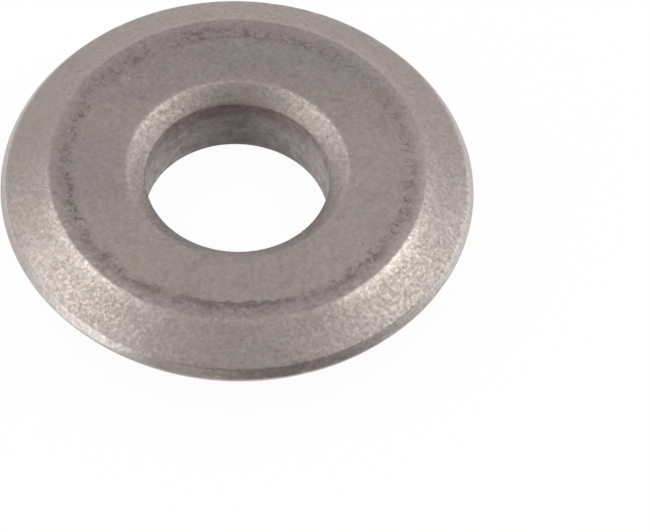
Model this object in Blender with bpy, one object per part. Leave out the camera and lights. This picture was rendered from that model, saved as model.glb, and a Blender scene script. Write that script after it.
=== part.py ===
"""Tile cutter scoring wheel: one ring of sintered tungsten carbide with a double-bevelled cutting rim.

The wheel lies flat. Its bore axis is the Z axis and the origin is the centre of its lower face, so the
lower face rests on the plane Z = 0. Lengths are written in millimetres and turned into metres by MM.

The section is turned in one piece. From the bore outwards each side has a chamfered bore mouth, a flat
land with a shallow ring groove in it, a long ground bevel and a short steep flank. The two flanks meet
in the cutting edge, which lies nearer the upper face than the lower one.
"""
import math

import bmesh
import bpy

MM = 0.001

# Overall sizes of the wheel
OUTER_DIAMETER = 16.0 * MM
BORE_DIAMETER = 6.2 * MM
THICKNESS = 3.0 * MM

# Cutting rim: the edge's height over the lower face, and the two angles ground on each side of it
EDGE_HEIGHT = 1.88 * MM
FLANK_HEIGHT = 0.34 * MM
FLANK_ANGLE = math.radians(60.0)
BEVEL_ANGLE = math.radians(28.4)

# Bore mouths
UPPER_MOUTH_WIDTH = 0.66 * MM
UPPER_MOUTH_DEPTH = 0.5 * MM
LOWER_MOUTH_WIDTH = 0.28 * MM
LOWER_MOUTH_DEPTH = 0.28 * MM

# Ring groove between the lapped seat and the as-sintered margin of each land
MARGIN_WIDTH = 0.56 * MM
GROOVE_WIDTH = 0.2 * MM
GROOVE_DEPTH = 0.03 * MM

# Width of the small rounding on each kind of corner
EDGE_BREAK = 0.03 * MM
FLANK_BREAK = 0.05 * MM
LAND_BREAK = 0.06 * MM
MOUTH_BREAK = 0.1 * MM

# Facets
TURN_STEPS = 120
BREAK_SEGMENTS = 2
SHARP_ANGLE = math.radians(25.0)

CARBIDE_COLOUR = (0.42, 0.39, 0.365, 1.0)
CARBIDE_ROUGHNESS = 0.5
CARBIDE_METALLIC = 0.85


def clear_scene():
    for item in list(bpy.data.objects):
        bpy.data.objects.remove(item, do_unlink=True)


def ring_groove(land_rim_radius):
    """Radii of a land groove's outer lip, floor and inner lip, set in from the land's rim."""
    outer_lip = land_rim_radius - MARGIN_WIDTH
    return outer_lip, outer_lip - GROOVE_WIDTH / 2, outer_lip - GROOVE_WIDTH


def wheel_section():
    """Corners of the wheel's section as (radius, height, break width), counter-clockwise from the bore."""
    bore_radius = BORE_DIAMETER / 2
    edge_radius = OUTER_DIAMETER / 2
    flank_radius = edge_radius - FLANK_HEIGHT / math.tan(FLANK_ANGLE)
    lower_rise = EDGE_HEIGHT - FLANK_HEIGHT
    upper_rise = THICKNESS - EDGE_HEIGHT - FLANK_HEIGHT
    lower_rim = flank_radius - lower_rise / math.tan(BEVEL_ANGLE)
    upper_rim = flank_radius - upper_rise / math.tan(BEVEL_ANGLE)
    lower_lip, lower_floor, lower_seat = ring_groove(lower_rim)
    upper_lip, upper_floor, upper_seat = ring_groove(upper_rim)
    return [
        (bore_radius, LOWER_MOUTH_DEPTH, LAND_BREAK),
        (bore_radius + LOWER_MOUTH_WIDTH, 0.0, LAND_BREAK),
        (lower_seat, 0.0, 0.0),
        (lower_floor, GROOVE_DEPTH, 0.0),
        (lower_lip, 0.0, 0.0),
        (lower_rim, 0.0, LAND_BREAK),
        (flank_radius, EDGE_HEIGHT - FLANK_HEIGHT, FLANK_BREAK),
        (edge_radius, EDGE_HEIGHT, EDGE_BREAK),
        (flank_radius, EDGE_HEIGHT + FLANK_HEIGHT, FLANK_BREAK),
        (upper_rim, THICKNESS, LAND_BREAK),
        (upper_lip, THICKNESS, 0.0),
        (upper_floor, THICKNESS - GROOVE_DEPTH, 0.0),
        (upper_seat, THICKNESS, 0.0),
        (bore_radius + UPPER_MOUTH_WIDTH, THICKNESS, MOUTH_BREAK),
        (bore_radius, THICKNESS - UPPER_MOUTH_DEPTH, LAND_BREAK),
    ]


def turn_section(mesh, section):
    """Spin the closed section one full turn about Z, which joins its last turn to its first."""
    corners = [mesh.verts.new((radius, 0.0, height)) for radius, height, _ in section]
    outline = [mesh.edges.new((corners[i - 1], corners[i])) for i in range(len(corners))]
    bmesh.ops.spin(
        mesh,
        geom=corners + outline,
        cent=(0.0, 0.0, 0.0),
        axis=(0.0, 0.0, 1.0),
        angle=math.tau,
        steps=TURN_STEPS,
        use_merge=True,
    )
    bmesh.ops.recalc_face_normals(mesh, faces=mesh.faces)


def is_ring_edge(edge, radius, height):
    """True for an edge that runs round the wheel at this radius and height."""
    reach = 0.001 * MM
    return all(
        abs(math.hypot(vert.co.x, vert.co.y) - radius) < reach and abs(vert.co.z - height) < reach
        for vert in edge.verts
    )


def break_corners(mesh, section):
    """Round each turned corner by its own small width, as tumbling and lapping leave it."""
    for radius, height, width in section:
        if width:
            ring = [edge for edge in mesh.edges if is_ring_edge(edge, radius, height)]
            bmesh.ops.bevel(
                mesh,
                geom=ring,
                offset=width,
                offset_type="OFFSET",
                affect="EDGES",
                segments=BREAK_SEGMENTS,
                profile=0.5,
                material=-1,
            )


def carbide_material():
    material = bpy.data.materials.new("sintered_carbide")
    material.use_nodes = True
    shader = material.node_tree.nodes["Principled BSDF"]
    shader.inputs["Base Color"].default_value = CARBIDE_COLOUR
    shader.inputs["Roughness"].default_value = CARBIDE_ROUGHNESS
    shader.inputs["Metallic"].default_value = CARBIDE_METALLIC
    return material


def build_cutting_wheel():
    section = wheel_section()
    mesh = bmesh.new()
    turn_section(mesh, section)
    break_corners(mesh, section)
    data = bpy.data.meshes.new("cutting_wheel")
    mesh.to_mesh(data)
    mesh.free()
    data.shade_smooth()
    data.set_sharp_from_angle(angle=SHARP_ANGLE)
    data.materials.append(carbide_material())
    wheel = bpy.data.objects.new("cutting_wheel", data)
    bpy.context.scene.collection.objects.link(wheel)
    return wheel


clear_scene()
build_cutting_wheel()
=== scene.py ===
# %% [markdown]
# A tile cutter wheel, dressed for its photograph
#
# The wheel is a small ring of sintered tungsten carbide, 16 mm across. Its solid is loaded as a fixed
# frame. This lesson turns a finer mesh of the same section over it, works the marks of pressing and
# grinding into that mesh, and gives it a grained metal finish. Then it sets the camera, floor and lamps.

# %% Load the frame
import math

import bmesh
import bpy
from mathutils import Matrix, Vector, noise


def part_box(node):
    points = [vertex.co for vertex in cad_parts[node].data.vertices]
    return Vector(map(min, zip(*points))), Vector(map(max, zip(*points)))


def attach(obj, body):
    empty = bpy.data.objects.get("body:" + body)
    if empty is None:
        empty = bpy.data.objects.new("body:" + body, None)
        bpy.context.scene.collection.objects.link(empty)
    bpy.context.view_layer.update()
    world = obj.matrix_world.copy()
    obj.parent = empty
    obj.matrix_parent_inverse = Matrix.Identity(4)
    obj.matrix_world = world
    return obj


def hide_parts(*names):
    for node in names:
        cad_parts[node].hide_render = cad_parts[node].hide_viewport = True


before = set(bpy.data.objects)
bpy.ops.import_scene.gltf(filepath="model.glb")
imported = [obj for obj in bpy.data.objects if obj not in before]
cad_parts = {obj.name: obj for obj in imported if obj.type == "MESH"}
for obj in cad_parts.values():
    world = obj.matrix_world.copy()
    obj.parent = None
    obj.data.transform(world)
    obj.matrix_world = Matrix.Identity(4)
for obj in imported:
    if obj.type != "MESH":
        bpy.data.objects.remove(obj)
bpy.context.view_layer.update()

MM = 0.001
low_corner, high_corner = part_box("cutting_wheel")
print("wheel box in mm:", [round(side / MM, 3) for side in high_corner - low_corner])

# %% [markdown]
# The section of the wheel
#
# A turned part is known by its section: the outline that a plane through its axis would cut. Two short
# flanks meet at 120 degrees in the cutting edge, long bevels rise from them at 28.4 degrees to the two
# flat lands, and chamfered mouths lead into the bore. The thickness comes from the frame. The other
# sizes are the ones the solid was turned from, so the new mesh lies on the old one everywhere.

# %% Sizes of the section
THICKNESS = high_corner.z
EDGE_RADIUS = 8.0 * MM
EDGE_HEIGHT = 1.88 * MM
FLANK_HEIGHT = 0.34 * MM
FLANK_ANGLE = math.radians(60.0)
BEVEL_ANGLE = math.radians(28.4)
BORE_RADIUS = 3.1 * MM
UPPER_MOUTH_WIDTH, UPPER_MOUTH_DEPTH = 0.66 * MM, 0.5 * MM
LOWER_MOUTH_WIDTH, LOWER_MOUTH_DEPTH = 0.28 * MM, 0.28 * MM
MARGIN_WIDTH = 0.56 * MM
GROOVE_WIDTH = 0.2 * MM
GROOVE_DEPTH = 0.03 * MM

flank_radius = EDGE_RADIUS - FLANK_HEIGHT / math.tan(FLANK_ANGLE)
lower_rim = flank_radius - (EDGE_HEIGHT - FLANK_HEIGHT) / math.tan(BEVEL_ANGLE)
upper_rim = flank_radius - (THICKNESS - EDGE_HEIGHT - FLANK_HEIGHT) / math.tan(BEVEL_ANGLE)
lower_groove = lower_rim - MARGIN_WIDTH - GROOVE_WIDTH / 2
upper_groove = upper_rim - MARGIN_WIDTH - GROOVE_WIDTH / 2
upper_mouth_rim = BORE_RADIUS + UPPER_MOUTH_WIDTH
lower_mouth_rim = BORE_RADIUS + LOWER_MOUTH_WIDTH
print("land rims in mm:", round(lower_rim / MM, 3), round(upper_rim / MM, 3))

# %% [markdown]
# The outline as a list of corners
#
# Each corner has a radius, a height and the width of its small rounding. No corner of a real part is
# perfectly sharp, and the thin light line that a rounded corner catches is what tells the eye that it
# is looking at metal. Corners without a rounding only mark the strip of land that gets a finer mesh.

# %% Corners, from the bore's foot round to its top
EDGE_BREAK = 0.03 * MM
FLANK_BREAK = 0.05 * MM
LAND_BREAK = 0.06 * MM
MOUTH_BREAK = 0.1 * MM
FINE_STRIP = 0.2 * MM

outline = [
    (BORE_RADIUS, LOWER_MOUTH_DEPTH, LAND_BREAK),
    (lower_mouth_rim, 0.0, LAND_BREAK),
    (lower_groove - FINE_STRIP, 0.0, 0.0),
    (lower_groove + FINE_STRIP, 0.0, 0.0),
    (lower_rim, 0.0, LAND_BREAK),
    (flank_radius, EDGE_HEIGHT - FLANK_HEIGHT, FLANK_BREAK),
    (EDGE_RADIUS, EDGE_HEIGHT, EDGE_BREAK),
    (flank_radius, EDGE_HEIGHT + FLANK_HEIGHT, FLANK_BREAK),
    (upper_rim, THICKNESS, LAND_BREAK),
    (upper_groove + FINE_STRIP, THICKNESS, 0.0),
    (upper_groove - FINE_STRIP, THICKNESS, 0.0),
    (upper_mouth_rim, THICKNESS, MOUTH_BREAK),
    (BORE_RADIUS, THICKNESS - UPPER_MOUTH_DEPTH, LAND_BREAK),
]
print("corners in the outline:", len(outline))

# %% [markdown]
# Turning the wheel
#
# The outline starts as a loop of edges. A vertex bevel rounds its corners, one width at a time, and
# every long edge is cut into short ones, so that there is enough mesh to work marks into. One full spin
# with use_merge then makes the ring and closes it on itself. Rounding the outline first is cheaper than
# bevelling the finished ring, and it gives the same corners.

# %% Round the outline's corners and cut its long edges
BREAK_SEGMENTS = 3
COARSE_PITCH = 0.14 * MM
FINE_PITCH = 0.05 * MM


def draw_outline(mesh):
    """Lay the outline down as a closed loop of edges, then round its corners."""
    corners = [mesh.verts.new((radius, 0.0, height)) for radius, height, _ in outline]
    for index in range(len(corners)):
        mesh.edges.new((corners[index - 1], corners[index]))
    for corner, (_, _, width) in zip(corners, outline):
        if width:
            bmesh.ops.bevel(mesh, geom=[corner], offset=width, offset_type="OFFSET",
                            affect="VERTICES", segments=BREAK_SEGMENTS, profile=0.5, material=-1)


def edge_pitch(edge):
    """Short edges on the grooved strip and the cutting rim, longer ones elsewhere."""
    middle = (edge.verts[0].co + edge.verts[1].co) / 2
    on_upper_strip = middle.z > EDGE_HEIGHT and abs(middle.x - upper_groove) < FINE_STRIP
    on_rim = middle.x > flank_radius
    return FINE_PITCH if on_upper_strip or on_rim else COARSE_PITCH


def cut_long_edges(mesh):
    for edge in list(mesh.edges):
        cuts = int(edge.calc_length() / edge_pitch(edge))
        if cuts:
            bmesh.ops.subdivide_edges(mesh, edges=[edge], cuts=cuts)


wheel_mesh = bmesh.new()
draw_outline(wheel_mesh)
cut_long_edges(wheel_mesh)
print("points in the rounded outline:", len(wheel_mesh.verts))

# %% Spin the outline into a ring
TURN_STEPS = 640

bmesh.ops.spin(wheel_mesh, geom=wheel_mesh.verts[:] + wheel_mesh.edges[:], cent=(0, 0, 0), axis=(0, 0, 1),
               angle=math.tau, steps=TURN_STEPS, use_merge=True)
bmesh.ops.recalc_face_normals(wheel_mesh, faces=wheel_mesh.faces)
print("turned mesh:", len(wheel_mesh.faces), "faces")

# %% [markdown]
# Marks of pressing and grinding
#
# Each land has a ring where the lapped seat ends and the rougher margin begins. On the real wheel it is
# a broken line of small pits and not a clean groove, so the pits are pressed into the mesh with noise:
# a bell curve across the ring sets how deep they may be, and the noise sets how deep each one is. The
# ridges beside the cutting edge get a few tiny nicks the same way, and every surface a faint unevenness.

# %% Depth of the ring's pits
WAVE_SIZE = 1.1 * MM
GROOVE_WANDER = 0.08 * MM
LAND_REACH = 0.01 * MM
SMALLEST_SHARE = 0.02
PIT_SIZE = 0.3 * MM
SMALL_PIT_SIZE = 0.11 * MM
PIT_START, PIT_LUMPS, SMALL_PIT_LUMPS = 0.4, 0.9, 0.4


def bell(distance, width):
    """1 at no distance, falling smoothly to almost nothing at twice the width."""
    return math.exp(-(distance / width) ** 2)


def pit_depth(place, radius):
    groove = upper_groove if place.z > EDGE_HEIGHT else lower_groove
    wander = GROOVE_WANDER * noise.noise(place / WAVE_SIZE)
    share = bell(radius - groove - wander, GROOVE_WIDTH / 2)
    on_land = min(abs(place.z), abs(place.z - THICKNESS)) < LAND_REACH
    if not on_land or share < SMALLEST_SHARE:
        return 0.0
    lumps = PIT_START + PIT_LUMPS * noise.noise(place / PIT_SIZE)
    lumps += SMALL_PIT_LUMPS * noise.noise(place / SMALL_PIT_SIZE)
    return GROOVE_DEPTH * share * max(0.0, lumps)


print("pits at most, in mm:", GROOVE_DEPTH / MM)

# %% Depth of the ridges' nicks
NICK_SIZE = 0.35 * MM
NICK_DEPTH = 0.035 * MM
NICK_REACH = 0.06 * MM
NICK_LIMIT = 0.35
NICK_SHIFT = Vector((7.3, 1.9, 4.1))


def nick_depth(place, radius):
    """Nicks lie on the cutting edge and the flanks' corners, where a noise of their own is strong."""
    ridge_height = min(abs(place.z - EDGE_HEIGHT), abs(abs(place.z - EDGE_HEIGHT) - FLANK_HEIGHT))
    if radius < flank_radius - NICK_REACH:
        return 0.0
    chance = noise.noise(place / NICK_SIZE + NICK_SHIFT)
    return NICK_DEPTH * bell(ridge_height, NICK_REACH) * max(0.0, chance - NICK_LIMIT) / (1 - NICK_LIMIT)


print("nicks at most, in mm:", NICK_DEPTH / MM)

# %% Work the marks into the mesh
WAVE_HEIGHT = 0.0025 * MM


def work_marks(mesh):
    """Move each point inwards by its marks, and a little in or out by a slow wave."""
    mesh.normal_update()
    shifts = []
    for vert in mesh.verts:
        place = vert.co.copy()
        radius = math.hypot(place.x, place.y)
        depth = pit_depth(place, radius) + nick_depth(place, radius)
        wave = WAVE_HEIGHT * noise.noise(place / WAVE_SIZE)
        shifts.append(vert.normal * (wave - WAVE_HEIGHT - depth))
    for vert, shift in zip(mesh.verts, shifts):
        vert.co += shift
    print("deepest mark in mm:", round(max(shift.length for shift in shifts) / MM, 4))


work_marks(wheel_mesh)

# %% Finish the mesh as a piece
SHARP_ANGLE = math.radians(25.0)

wheel_data = bpy.data.meshes.new("wheel_skin")
wheel_mesh.to_mesh(wheel_data)
wheel_mesh.free()
wheel_data.shade_smooth()
wheel_data.set_sharp_from_angle(angle=SHARP_ANGLE)
wheel = bpy.data.objects.new("wheel_skin", wheel_data)
bpy.context.scene.collection.objects.link(wheel)
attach(wheel, "root")
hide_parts("cutting_wheel")
print("triangles in the piece:", sum(len(face.vertices) - 2 for face in wheel_data.polygons))

# %% [markdown]
# A material made of regions
#
# The whole wheel is one metal, but it shows five finishes: fine lapped lands, a pitted ring, rougher
# margins, coarse sparkling bevels and a dark bore. A turned part needs no painted mask to tell these
# apart, because the distance from the axis and the height are enough. Object coordinates give both, and
# they stay on the part when the view changes. A few small functions keep the many nodes readable. They
# add to whichever node tree the name tree holds, and they serve the table and the light as well.

# %% Helpers that make one node
carbide = bpy.data.materials.new("sintered_carbide")
carbide.use_nodes = True
tree = carbide.node_tree
shader = tree.nodes["Principled BSDF"]


def put(socket, value):
    """Give a socket a link if value is another node's output, and a plain number or colour otherwise."""
    if isinstance(value, bpy.types.NodeSocket):
        tree.links.new(value, socket)
    else:
        socket.default_value = value


def math_node(operation, first, second=0.0, third=0.0):
    node = tree.nodes.new("ShaderNodeMath")
    node.operation = operation
    for socket, value in zip(node.inputs, (first, second, third)):
        put(socket, value)
    return node.outputs[0]


def vector_node(operation, first, second=(0.0, 0.0, 0.0)):
    node = tree.nodes.new("ShaderNodeVectorMath")
    node.operation = operation
    put(node.inputs[0], first)
    put(node.inputs[1], second)
    return node.outputs["Value" if operation == "LENGTH" else "Vector"]


def parts_of(vector):
    """The three numbers of a vector or a colour."""
    node = tree.nodes.new("ShaderNodeSeparateXYZ")
    put(node.inputs[0], vector)
    return node.outputs


def tint(share, first, second):
    """Mix two colours by share."""
    node = tree.nodes.new("ShaderNodeMix")
    node.data_type = "RGBA"
    put(node.inputs["Factor"], share)
    put(node.inputs["A"], first)
    put(node.inputs["B"], second)
    return node.outputs["Result"]


def mix_value(share, first, second):
    node = tree.nodes.new("ShaderNodeMix")
    put(node.inputs["Factor"], share)
    put(node.inputs["A"], first)
    put(node.inputs["B"], second)
    return node.outputs["Result"]


print("material:", carbide.name)


# %% Helpers for arithmetic and steps
def rise(value, start, end, low=0.0, high=1.0):
    """A smooth step: low below start, high above end. Places are in millimetres."""
    node = tree.nodes.new("ShaderNodeMapRange")
    node.interpolation_type = "SMOOTHSTEP"
    for socket, given in zip(node.inputs, (value, start, end, low, high)):
        put(socket, given)
    return node.outputs[0]


def fall(value, start, end, high=1.0):
    """A smooth step down to nothing: high below start, 0 above end."""
    return rise(value, start, end, high, 0.0)


def plus(first, second):
    return math_node("ADD", first, second)


def minus(first, second):
    return math_node("SUBTRACT", first, second)


def add_share(value, mask, amount):
    """Add this amount to the value where the mask is 1."""
    return math_node("MULTIPLY_ADD", mask, amount, value)


def times(product, *factors):
    """All the values multiplied together."""
    for factor in factors:
        product = math_node("MULTIPLY", product, factor)
    return product


def strongest(result, *others):
    """The largest of the values."""
    for other in others:
        result = math_node("MAXIMUM", result, other)
    return result


print("helpers ready")

# %% Place, radius and height in millimetres
coordinates = tree.nodes.new("ShaderNodeTexCoord")
place_mm = vector_node("MULTIPLY", coordinates.outputs["Object"], (1 / MM, 1 / MM, 1 / MM))
radius_mm = vector_node("LENGTH", vector_node("MULTIPLY", place_mm, (1.0, 1.0, 0.0)))
place_x, place_y, height_mm = parts_of(place_mm)


def grain(scale, detail=2.0, roughness=0.5, place=place_mm):
    """Noise with this many lumps to the millimetre, from 0 to 1."""
    node = tree.nodes.new("ShaderNodeTexNoise")
    put(node.inputs["Vector"], place)
    put(node.inputs["Scale"], scale)
    put(node.inputs["Detail"], detail)
    put(node.inputs["Roughness"], roughness)
    return node.outputs[0]


print("nodes so far:", len(tree.nodes))

# %% [markdown]
# Masks for the regions
#
# Each mask is a smooth step on the radius or the height. A little noise on the radius first makes the
# borders wander, as they do where one grinding pass ends and the next begins. The coarse mask says how
# strong the grain is: full on the bevels and mouths, weaker on the flanks and weaker still in the bore.

# %% Region masks
RING_WANDER_MM, BORDER_WANDER_MM = 0.3, 0.1
FLANK_CALM, BORE_CALM = -0.4, -0.6

wander = minus(grain(2.4, 3.0, 0.65), 0.5)
ring_radius = add_share(radius_mm, wander, RING_WANDER_MM)
border_radius = add_share(radius_mm, wander, BORDER_WANDER_MM)
upper_side = rise(height_mm, 1.7, 2.0)
groove_mm = mix_value(upper_side, lower_groove / MM, upper_groove / MM)
rim_mm = mix_value(upper_side, lower_rim / MM, upper_rim / MM)
mouth_mm = mix_value(upper_side, lower_mouth_rim / MM, upper_mouth_rim / MM)

beyond_rim = rise(minus(border_radius, rim_mm), -0.045, 0.06)
inside_mouth = fall(minus(border_radius, mouth_mm), -0.05, 0.06)
in_bore = fall(radius_mm, BORE_RADIUS / MM + 0.008, BORE_RADIUS / MM + 0.035)
on_flank = rise(radius_mm, flank_radius / MM - 0.01, flank_radius / MM + 0.05)
ground = strongest(beyond_rim, inside_mouth)
on_land = minus(1.0, ground)
coarse = add_share(add_share(ground, in_bore, BORE_CALM), on_flank, FLANK_CALM)

outward = minus(ring_radius, groove_mm)
ring = times(rise(outward, -0.24, 0.0), fall(outward, 0.14, 0.6), on_land)
margin = times(rise(outward, -0.05, 0.12), on_land)
print("masks made from the place on the wheel alone")

# %% [markdown]
# Halves and ridges
#
# No real wheel is the same all the way round. A few broad masks tell the left from the right and the
# near side from the far one, and others mark the darker patches of the land: the far side, one on the
# left and a faint one nearest the camera. The land's ridge, where it meets its bevel, is polished and
# carries a painted highlight that comes and goes. The flank's corner carries a painted highlight over its
# left half, most at the very left, and in one stretch on the right, and at the far right it is dull
# instead, with a pale painted highlight.

# %% Masks of the sides and patches
SLANT = 0.5

off_middle = math_node("ABSOLUTE", place_x)
left_half = fall(place_x, -2.4, -0.6)
near_half = fall(place_y, -1.5, 0.8)
far_side = rise(place_y, 0.3, 5.2)
far_right = add_share(place_x, place_y, SLANT)
left_patch = times(fall(place_x, -5.2, -2.6, 0.64), fall(math_node("ABSOLUTE", place_y), 0.5, 3.4))
near_patch = times(fall(place_y, -4.0, -2.8, 0.2), fall(off_middle, 1.5, 3.2))
land_patches = strongest(far_side, left_patch, near_patch)
liveliness = times(rise(place_y, -1.0, 2.5, 1.0, 0.72), rise(place_x, -5.0, 5.0, 0.86, 1.0),
                   rise(place_x, 4.8, 6.4, 1.0, 1.25))
print("nodes so far:", len(tree.nodes))

# %% Polished ridge and painted highlights
rim_distance = math_node("ABSOLUTE", minus(radius_mm, rim_mm))
# The land's ridge: a real polish, and a painted highlight that is stronger on the right and weaker in the
# middle and far off.
polish_and_highlight_share = times(rise(grain(0.5), 0.2, 0.55), rise(off_middle, 0.8, 2.8, 0.15, 1.0),
             rise(place_x, -3.5, 3.5, 0.65, 1.15), rise(place_y, 0.5, 3.0, 1.0, 0.6))
ridge_polish_and_highlight = times(fall(rim_distance, 0.03, 0.5), polish_and_highlight_share)

# The flank's corner: a painted highlight on the left and in one stretch on the right, and a dull, rougher
# stretch at the far right.
corner_distance = math_node("ABSOLUTE", minus(radius_mm, flank_radius / MM))
left_corner_light = plus(fall(place_x, -7.2, -5.8, 0.08), fall(place_x, -2.0, 2.0, 0.06))
right_corner_light = times(rise(place_x, 2.0, 3.5, 0.0, 0.12), fall(place_x, 5.6, 6.8))
painted_corner_light = times(fall(corner_distance, 0.02, 0.09), plus(left_corner_light, right_corner_light))
dull_corner_and_highlight = times(fall(corner_distance, 0.03, 0.1), rise(place_x, 6.0, 7.0))
print("nodes so far:", len(tree.nodes))

# %% [markdown]
# Colour of the lands and bevels
#
# Carbide is a warm mid grey. Slow noise drifts it between a purple and an olive cast, and the ground
# bevels and mouths are a little cooler than the lands. The patches of the land are darker, with a
# purple cast on the left and an olive one on the right. So is the margin beyond the ring, least at
# the far right, and nearest the camera its stain turns bluish.

# %% Lands, bevels and mouths
LILAC_GREY = (0.405, 0.3445, 0.332, 1.0)
OLIVE_GREY = (0.402, 0.352, 0.318, 1.0)
COOL_LILAC = (0.405, 0.347, 0.339, 1.0)
COOL_OLIVE = (0.403, 0.354, 0.328, 1.0)
NEAR_MOUTH_GREY = (0.4, 0.36, 0.352, 1.0)
MOUTH_COOLNESS = 0.5

cast = rise(grain(0.4, 3.0), 0.3, 0.7)
cool = add_share(beyond_rim, inside_mouth, MOUTH_COOLNESS)
metal = tint(cool, tint(cast, LILAC_GREY, OLIVE_GREY), tint(cast, COOL_LILAC, COOL_OLIVE))
near_mouth = times(inside_mouth, fall(place_y, -3.0, -1.5))
metal = tint(near_mouth, metal, NEAR_MOUTH_GREY)
print("nodes so far:", len(tree.nodes))

# %% Darker lands and margins
FAR_LILAC = (0.33, 0.283, 0.293, 1.0)
FAR_OLIVE = (0.33, 0.292, 0.282, 1.0)
MARGIN_GREY = (0.341, 0.29, 0.284, 1.0)
MARGIN_BLUE = (0.341, 0.29, 0.3, 1.0)

darker_land = times(land_patches, on_land)
metal = tint(darker_land, metal, tint(rise(place_x, -3.0, 4.0), FAR_LILAC, FAR_OLIVE))
near_stain = times(rise(place_x, 0.6, 1.8), fall(place_x, 2.8, 3.8, 0.8), fall(place_y, -5.0, -4.0))
margin_stain = strongest(rise(grain(2.8, 3.0, 0.65), 0.25, 0.68), near_stain)
margin_stain = times(margin_stain, margin, rise(far_right, 2.0, 5.0, 1.0, 0.15))
metal = tint(margin_stain, metal, tint(rise(place_y, -5.5, -4.7), MARGIN_BLUE, MARGIN_GREY))
print("nodes so far:", len(tree.nodes))

# %% [markdown]
# Colour of the pitted ring
#
# Dirt stays in the pits, so the ring is a broken dark line of small spots. Two sizes of noise make the
# spots, and a slower one makes stretches with many and with few of them. The ring is faint at the far
# right. Nearest the camera the pits run together into one short, broken dark streak.

# %% Ring of pits
PIT_BROWN = (0.208, 0.172, 0.168, 1.0)
PIT_BLACK = (0.15, 0.121, 0.122, 1.0)

pit_spots = rise(grain(4.5, 3.0, 0.65), 0.49, 0.58, 0.12, 1.0)
pit_stretches = rise(grain(0.6), 0.35, 0.6, 0.6, 1.0)
pitting = times(ring, pit_spots, pit_stretches, rise(far_right, 1.5, 5.5, 0.92, 0.48),
                rise(place_y, -5.4, -4.8, 0.75, 1.0))
streak_line = times(rise(outward, -0.15, -0.1), fall(outward, 0.03, 0.22))
streak_stretch = times(fall(place_y, -5.5, -5.15, 0.85), rise(place_x, -2.4, -0.8, 0.4, 1.0), on_land)
streak_gaps = rise(grain(3.0, 3.0, 0.6), 0.32, 0.5, 0.3, 1.0)
streak = times(streak_line, streak_stretch, streak_gaps)
metal = tint(strongest(pitting, streak), metal, PIT_BROWN)
flecks = times(rise(grain(6.5), 0.55, 0.66, 0.0, 0.7), ring, pit_stretches,
               rise(place_x, -4.5, -1.0, 0.55, 1.0))
metal = tint(flecks, metal, PIT_BLACK)
print("nodes so far:", len(tree.nodes))

# %% [markdown]
# Colour of the flanks and the bore
#
# The flanks were ground last and are the palest. They are cream on the left and right, as painted
# light, and browner towards the camera, as painted shade. The dull stretch of their corner at the far
# right is paler and pinker, a painted highlight. The bore is darker, most of all under its upper mouth
# and in its middle: partly grease and dust that stain it brown, partly painted shade. Its noise is drawn
# out round the wheel, as honing leaves it.

# %% Flanks
SHADED_FLANK_BROWN = (0.46, 0.39, 0.385, 1.0)
LIT_FLANK_CREAM = (0.487, 0.442, 0.43, 1.0)
CORNER_HIGHLIGHT_PINK = (0.545, 0.485, 0.49, 1.0)
CORNER_COVER = 0.7

# Painted light and shade: cream where the lamps light the flanks on the left and right, brown towards the
# camera.
lit_flank_sides = strongest(fall(place_x, -5.0, -1.5), rise(place_x, 3.6, 6.0))
metal = tint(on_flank, metal, tint(lit_flank_sides, SHADED_FLANK_BROWN, LIT_FLANK_CREAM))
# A painted highlight: the dull stretch of the corner at the far right is paler and pinker.
metal = tint(times(dull_corner_and_highlight, CORNER_COVER), metal, CORNER_HIGHLIGHT_PINK)
print("nodes so far:", len(tree.nodes))

# %% Bore
BORE_GREY = (0.406, 0.363, 0.366, 1.0)
BORE_GRIME_SHADE_BROWN = (0.196, 0.148, 0.145, 1.0)
HONING_STRETCH = (0.3, 0.3, 1.6)

metal = tint(in_bore, metal, BORE_GREY)
# Painted shade, partly grime: the wall is darker and browner under the upper mouth and in its middle.
mouth_foot = (THICKNESS - UPPER_MOUTH_DEPTH) / MM
shade_under_mouth = times(rise(height_mm, mouth_foot - 1.2, mouth_foot - 0.1),
                    rise(grain(0.9, 3.0), 0.2, 0.5, 0.7, 1.0), rise(off_middle, 0.4, 2.2, 0.88, 0.64))
bore_grime_and_shade = strongest(shade_under_mouth, fall(off_middle, 0.5, 2.4, 0.26))
metal = tint(times(in_bore, bore_grime_and_shade), metal, BORE_GRIME_SHADE_BROWN)
honing = grain(3.0, 3.0, 0.6, vector_node("MULTIPLY", place_mm, HONING_STRETCH))
print("nodes so far:", len(tree.nodes))

# %% [markdown]
# Specks, pores and crumbs
#
# Small things make metal look near: here and there a dark pore or a painted glint, and a fine crumbly
# tone over everything. Voronoi cells give each of them its own place and its own random number. The
# painted glints are most frequent in the bore, on the right bevel and on the margin nearest the camera,
# and the crumbs are strongest on the bevels and margins.

# %% Specks and pores
PAINTED_GLINT_WHITE = (0.75, 0.72, 0.69, 1.0)
SPECKS_PER_MM = 4.0
GLINT_LIMIT, SPARKLING_LIMIT_DROP = 0.985, -0.035


def cells(scale):
    """Voronoi cells, this many to the millimetre: the distance from a cell's middle and its own number."""
    node = tree.nodes.new("ShaderNodeTexVoronoi")
    put(node.inputs["Vector"], place_mm)
    put(node.inputs["Scale"], scale)
    return node.outputs["Distance"], parts_of(node.outputs["Color"])[0]


speck_distance, speck_number = cells(SPECKS_PER_MM)
sparkling = strongest(in_bore, times(beyond_rim, rise(place_x, 2.0, 4.0)),
                      times(margin, fall(place_y, -5.0, -4.0)))
glint_limit = add_share(GLINT_LIMIT, sparkling, SPARKLING_LIMIT_DROP)
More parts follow.
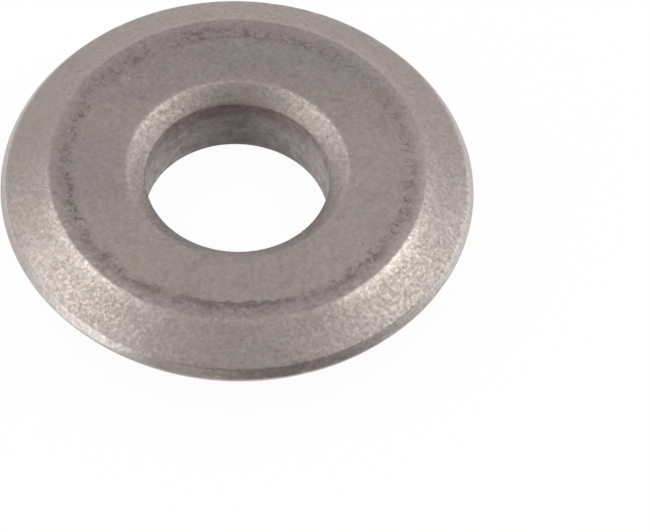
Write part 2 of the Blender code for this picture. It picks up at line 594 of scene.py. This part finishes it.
# Painted glints: a few cells get a near-white colour, as if they flashed in a lamp.
painted_glint = times(fall(speck_distance, 0.06, 0.14), math_node("GREATER_THAN", speck_number, glint_limit))
pore_limit = rise(place_y, -6.5, -4.5, 0.12, 0.05)
pore = times(fall(speck_distance, 0.08, 0.2, 0.7), math_node("LESS_THAN", speck_number, pore_limit))
metal = tint(painted_glint, tint(pore, metal, PIT_BROWN), PAINTED_GLINT_WHITE)
print("nodes so far:", len(tree.nodes))

# %% Crumbs
CRUMBS_PER_MM = 10.0
MARGIN_GRAIN = 0.8
LIVELY_SPECKLE = 1.4

crumb = minus(cells(CRUMBS_PER_MM)[1], 0.5)
grained = strongest(coarse, times(margin, MARGIN_GRAIN))
speckle = times(minus(grain(6.5), 0.5), mix_value(grained, 0.47, 0.5))
speckle = add_share(speckle, crumb, mix_value(grained, 0.08, 0.13))
livelier = strongest(times(inside_mouth, left_half), times(margin, near_half),
                     times(on_land, rise(place_y, 1.5, 3.5, 0.0, 0.45)))
speckle = times(speckle, mix_value(beyond_rim, 1.0, liveliness), mix_value(livelier, 1.0, LIVELY_SPECKLE))
print("nodes so far:", len(tree.nodes))

# %% [markdown]
# Tone
#
# The last step of the colour is a factor on its brightness: the crumbly speckle, slow smudges, the
# painted highlights of the two ridges, and the painted light and shade of the bore, the mouth and the
# bevels. The bore is paler at its sides, as painted light. The mouth is palest nearest the camera, as
# painted light, and darker towards the bore, as painted shade, with a few darker and paler patches, and
# the bevels are a little paler far off and at the near left, as painted light. The cast of the colour
# varies a little too.

# %% Painted light and shade of the bore, the mouth and the bevels
MIDDLE_BORE_SHADE, ASIDE_LIGHT_SHARE = 0.8, 0.16
MOUTH_TONE, NEAR_MOUTH_LIGHT = 0.975, 0.17
LEFT_SHARE = -0.06

# Painted light: the bore's sides are paler than its middle, with real honing marks and grain on top.
bore_grain_and_light = times(add_share(MIDDLE_BORE_SHADE, off_middle, ASIDE_LIGHT_SHARE),
                  rise(honing, 0.25, 0.75, 0.9, 1.1), rise(grain(2.5, 3.0), 0.3, 0.7, 0.85, 1.15))
bore_grain_and_light = add_share(bore_grain_and_light, left_half, LEFT_SHARE)

# Painted light nearest the camera and painted shade towards the bore, on the mouth, with a few darker and
# paler patches.
mouth_light_and_tone = add_share(MOUTH_TONE, near_half, NEAR_MOUTH_LIGHT)
mouth_light_and_tone = add_share(mouth_light_and_tone, left_half, LEFT_SHARE)
right_part = times(rise(place_x, 0.5, 1.5), fall(place_y, 0.4, 1.6))
mouth_light_and_tone = add_share(mouth_light_and_tone, right_part, rise(place_y, -1.4, 0.1, -0.06, 0.08))
mouth_light_and_tone = add_share(mouth_light_and_tone, rise(place_x, 0.7, 1.8), rise(place_y, 0.9, 2.2, 0.0, -0.07))
far_left_part = times(rise(place_x, -2.6, -1.7), fall(place_x, -1.1, -0.4))
mouth_light_and_tone = add_share(mouth_light_and_tone, far_left_part, rise(place_y, 0.5, 2.0, 0.0, 0.09))
mouth_light_and_tone = times(mouth_light_and_tone, rise(radius_mm, 3.15, 3.75, 0.93, 1.08))

# Painted light on the bevels: a little paler far off and at the near left.
near_left = times(fall(place_x, -3.2, -1.6), fall(place_y, -3.6, -2.4))
bevel_painted_light = add_share(1.0, near_left, rise(radius_mm, 6.4, 7.4, 0.01, 0.08))
bevel_painted_light = plus(bevel_painted_light, rise(place_y, 1.0, 3.5, 0.0, 0.045))
print("nodes so far:", len(tree.nodes))

# %% Brightness of the colour
RIDGE_PAINTED_HIGHLIGHT = 0.18
METALLIC, BORE_METALLIC_SHARE = 0.9, -0.5

smudge = rise(grain(1.1, 4.0, 0.6), 0.5, 0.75, 1.0, 0.9)
on_bevel = minus(beyond_rim, on_flank)
inner_light_and_tone = mix_value(in_bore, mouth_light_and_tone, bore_grain_and_light)
# The tone carries the painted highlights of the land's ridge and of the flank's corner.
tone = times(plus(speckle, 1.0), smudge, add_share(1.0, ridge_polish_and_highlight, RIDGE_PAINTED_HIGHLIGHT), plus(painted_corner_light, 1.0))
tone = times(tone, mix_value(on_bevel, 1.0, bevel_painted_light), mix_value(inside_mouth, 1.0, inner_light_and_tone))
toned = tree.nodes.new("ShaderNodeHueSaturation")
put(toned.inputs["Color"], metal)
put(toned.inputs["Saturation"], rise(grain(3.0), 0.3, 0.7, 0.9, 1.12))
put(toned.inputs["Value"], tone)
put(shader.inputs["Base Color"], toned.outputs[0])
put(shader.inputs["Metallic"], add_share(METALLIC, in_bore, BORE_METALLIC_SHARE))
print("nodes so far:", len(tree.nodes))

# %% [markdown]
# Gloss and grain
#
# Ground carbide sparkles because each crystal takes the light at its own angle. Two things copy that:
# a roughness that differs from crystal to crystal, so that some flash in the light of a lamp while their
# neighbours stay dull, and a lean of the surface that the colour of a noise gives to each crystal.

# %% Roughness of the regions
CRYSTALS_PER_MM, CRYSTAL_DETAIL = 9.0, 1.5
LAND_FLASH, GROUND_FLASH = 0.1, 0.42
ROUGHNESS = 0.46
CRUMB_SHARE = -0.1

crystals = tree.nodes.new("ShaderNodeTexNoise")
put(crystals.inputs["Vector"], place_mm)
put(crystals.inputs["Scale"], CRYSTALS_PER_MM)
put(crystals.inputs["Detail"], CRYSTAL_DETAIL)
crystal_colour = crystals.outputs["Color"]
crystal_number = minus(parts_of(crystal_colour)[0], 0.5)
flash = mix_value(coarse, LAND_FLASH, times(liveliness, GROUND_FLASH))
dull = add_share(ROUGHNESS, crystal_number, flash)
dull = add_share(dull, crumb, times(coarse, CRUMB_SHARE))
for region, amount in ((margin, 0.04), (ridge_polish_and_highlight, -0.1), (on_flank, -0.11), (dull_corner_and_highlight, 0.18), (in_bore, 0.3)):
    dull = add_share(dull, region, amount)
put(shader.inputs["Roughness"], dull)
print("nodes so far:", len(tree.nodes))

# %% Lean and bump of the grain
LAND_LEAN, GROUND_LEAN = 0.1, 0.27
LAND_BUMP, GROUND_BUMP = 0.5, 1.0
BUMP_HEIGHT = 0.008 * MM

facets = vector_node("SUBTRACT", crystal_colour, (0.5, 0.5, 0.5))
lean = vector_node("MULTIPLY", facets, mix_value(coarse, LAND_LEAN, GROUND_LEAN))
bump = tree.nodes.new("ShaderNodeBump")
put(bump.inputs["Height"], grain(5.0, 3.0, 0.6))
put(bump.inputs["Distance"], BUMP_HEIGHT)
put(bump.inputs["Strength"], mix_value(strongest(coarse, margin), LAND_BUMP, GROUND_BUMP))
leaning = vector_node("ADD", lean, bump.outputs[0])
put(shader.inputs["Normal"], vector_node("NORMALIZE", leaning))
wheel_data.materials.append(carbide)
print("nodes in the metal:", len(tree.nodes))

# %% [markdown]
# The camera
#
# The photograph looks down at the wheel from nearly 53 degrees above the table, through a long lens from
# far away, which makes the picture almost free of perspective. The wheel lies left of the middle and
# leans by a little over a degree. The camera first looks straight at the middle of the cutting edge's
# circle, and then turns away from it by the two small angles that put the wheel at its place in the frame.

# %% Place the camera
FRAME_SIZE = (650, 532)
WHEEL_CENTRE_PIXEL = (237.13, 188.64)
CAMERA_ELEVATION = math.radians(52.89)
CAMERA_LEAN = math.radians(1.38)
CAMERA_DISTANCE = 39.67 * EDGE_RADIUS
FOCAL_PIXELS = 9397.5
SENSOR_WIDTH = 36.0
CLIP_START, CLIP_END = 0.01, 5.0


def place_camera():
    camera_data = bpy.data.cameras.new("camera")
    camera_data.sensor_width = SENSOR_WIDTH
    camera_data.lens = FOCAL_PIXELS * SENSOR_WIDTH / FRAME_SIZE[0]
    camera_data.clip_start = CLIP_START
    camera_data.clip_end = CLIP_END
    camera = bpy.data.objects.new("camera", camera_data)
    bpy.context.scene.collection.objects.link(camera)
    side_step = (WHEEL_CENTRE_PIXEL[0] - FRAME_SIZE[0] / 2) / FOCAL_PIXELS
    down_step = (WHEEL_CENTRE_PIXEL[1] - FRAME_SIZE[1] / 2) / FOCAL_PIXELS
    straight = Matrix.Rotation(math.pi / 2 - CAMERA_ELEVATION, 4, "X")
    lean = Matrix.Rotation(CAMERA_LEAN, 4, "Z")
    aside = Matrix.Rotation(math.atan(side_step), 4, "Y") @ Matrix.Rotation(math.atan(down_step), 4, "X")
    aim = Vector((0.0, 0.0, EDGE_HEIGHT))
    back = straight @ Vector((0.0, 0.0, CAMERA_DISTANCE))
    camera.matrix_world = Matrix.Translation(aim + back) @ straight @ lean @ aside
    return camera


camera = place_camera()
bpy.context.scene.camera = camera
print("lens in mm:", round(camera.data.lens, 1))

# %% [markdown]
# The table
#
# The photograph's background is pure white. The floor is a plain white table to the wheel and the light,
# and to the camera it is white paint with some glow of its own, so that it stays white without more
# lamps. The glow is only a part of it, and the wheel's soft shadow still shows. The metal mirrors the
# table too, bright behind the wheel and dark in front of it, where the photographer stands. A camera
# under the table looks through it, so that the wheel's lower side can be seen.

# %% Floor
FLOOR_SIZE = 2.0

floor_mesh = bmesh.new()
bmesh.ops.create_grid(floor_mesh, x_segments=1, y_segments=1, size=FLOOR_SIZE / 2)
floor_data = bpy.data.meshes.new("table")
floor_mesh.to_mesh(floor_data)
floor_mesh.free()
floor = bpy.data.objects.new("table", floor_data)
bpy.context.scene.collection.objects.link(floor)
print("table side in metres:", FLOOR_SIZE)

# %% White paint that glows for the camera and in the metal
TABLE_WHITE = (0.85, 0.85, 0.85, 1.0)
PAPER_WHITE = (1.0, 1.0, 1.0, 1.0)
CAMERA_GLOW = 0.95
MIRROR_SHARE = 0.9
FRONT_GLOW, BACK_GLOW = 0.35, 0.95
FRONT_PLACE, BACK_PLACE = -0.025, -0.006


def mix_shaders(share, first, second):
    node = tree.nodes.new("ShaderNodeMixShader")
    for socket, value in zip(node.inputs, (share, first, second)):
        put(socket, value)
    return node.outputs[0]


paint = bpy.data.materials.new("white_table")
paint.use_nodes = True
tree = paint.node_tree
tree.nodes.clear()
table_ray = tree.nodes.new("ShaderNodeLightPath")
for_camera, for_mirror = table_ray.outputs["Is Camera Ray"], table_ray.outputs["Is Glossy Ray"]
matt = tree.nodes.new("ShaderNodeBsdfDiffuse")
put(matt.inputs["Color"], tint(for_camera, TABLE_WHITE, PAPER_WHITE))
table_place = parts_of(tree.nodes.new("ShaderNodeTexCoord").outputs["Object"])
mirrored = rise(table_place["Y"], FRONT_PLACE, BACK_PLACE, FRONT_GLOW, BACK_GLOW)
glow = tree.nodes.new("ShaderNodeEmission")
put(glow.inputs["Color"], PAPER_WHITE)
put(glow.inputs["Strength"], mix_value(for_mirror, 1.0, mirrored))
glow_share = add_share(times(for_mirror, MIRROR_SHARE), for_camera, CAMERA_GLOW)
side = tree.nodes.new("ShaderNodeNewGeometry")
from_below = times(side.outputs["Backfacing"], for_camera)
see_through = tree.nodes.new("ShaderNodeBsdfTransparent")
painted = mix_shaders(glow_share, matt.outputs[0], glow.outputs[0])
output = tree.nodes.new("ShaderNodeOutputMaterial")
put(output.inputs["Surface"], mix_shaders(from_below, painted, see_through.outputs[0]))
floor_data.materials.append(paint)
print("nodes in the table's paint:", len(tree.nodes))

# %% [markdown]
# The light
#
# Small metal things are photographed in a light tent: pale walls, two soft boxes high on the left and
# right, and an open, dark side where the camera looks in. The metal mirrors all of it. The soft boxes make
# the bright patches low on the left and right bevels. Two wide lamps low down stand for sunlit walls of
# the tent, and they light the steep flanks on both sides, with a small fill on the left. The dark side
# makes the flank that faces the camera dark.

# %% The tent
TENT_WHITE = (1.0, 1.0, 1.01, 1.0)
CAMERA_WHITE = (1.0, 1.0, 1.0, 1.0)
DARK_SIDE, PALE_SIDE = 0.15, 0.68
DARK_END, PALE_START = -0.95, -0.25
TENT_TURN = -0.15

world = bpy.data.worlds.new("tent")
bpy.context.scene.world = world
world.use_nodes = True
tree = world.node_tree
background = tree.nodes["Background"]
direction = parts_of(tree.nodes.new("ShaderNodeTexCoord").outputs["Generated"])
away_from_camera = add_share(direction["Y"], direction["X"], TENT_TURN)
tent_light = rise(away_from_camera, DARK_END, PALE_START, DARK_SIDE, PALE_SIDE)
seen_directly = tree.nodes.new("ShaderNodeLightPath").outputs["Is Camera Ray"]
put(background.inputs["Color"], tint(seen_directly, TENT_WHITE, CAMERA_WHITE))
put(background.inputs["Strength"], mix_value(seen_directly, tent_light, 1.0))
print("nodes in the tent:", len(tree.nodes))

# %% Lamps
LEFT_WHITE = (0.97, 1.0, 0.925)
RIGHT_WHITE = (0.95, 1.0, 0.925)
LAMP_DISTANCE = 0.2


def soft_box(name, azimuth, elevation, size, power, colour):
    """An area lamp that looks at the wheel from this direction, given in degrees."""
    turn, lift = math.radians(azimuth), math.radians(elevation)
    away = Vector((math.cos(turn) * math.cos(lift), math.sin(turn) * math.cos(lift), math.sin(lift)))
    lamp_data = bpy.data.lights.new(name, "AREA")
    lamp_data.shape = "RECTANGLE"
    lamp_data.size, lamp_data.size_y = size
    lamp_data.energy = power
    lamp_data.color = colour
    lamp = bpy.data.objects.new(name, lamp_data)
    lamp.location = away * LAMP_DISTANCE
    lamp.rotation_euler = away.to_track_quat("Z", "Y").to_euler()
    lamp.visible_camera = False
    bpy.context.scene.collection.objects.link(lamp)


soft_box("left_box", 175.5, 47.0, (0.12, 0.09), 0.084, LEFT_WHITE)
soft_box("right_box", 8.0, 49.0, (0.12, 0.09), 0.082, RIGHT_WHITE)
soft_box("left_wall", 208.0, 11.0, (0.14, 0.08), 0.095, LEFT_WHITE)
soft_box("left_fill", 256.0, 6.0, (0.07, 0.06), 0.011, LEFT_WHITE)
soft_box("right_wall", 15.5, 7.0, (0.12, 0.05), 0.084, RIGHT_WHITE)
print("lamps:", len(bpy.data.lights))

# %% [markdown]
# View
#
# The plain Standard view keeps a colour as it is written.

# %% View settings
bpy.context.scene.view_settings.view_transform = "Standard"
print("view transform:", bpy.context.scene.view_settings.view_transform)
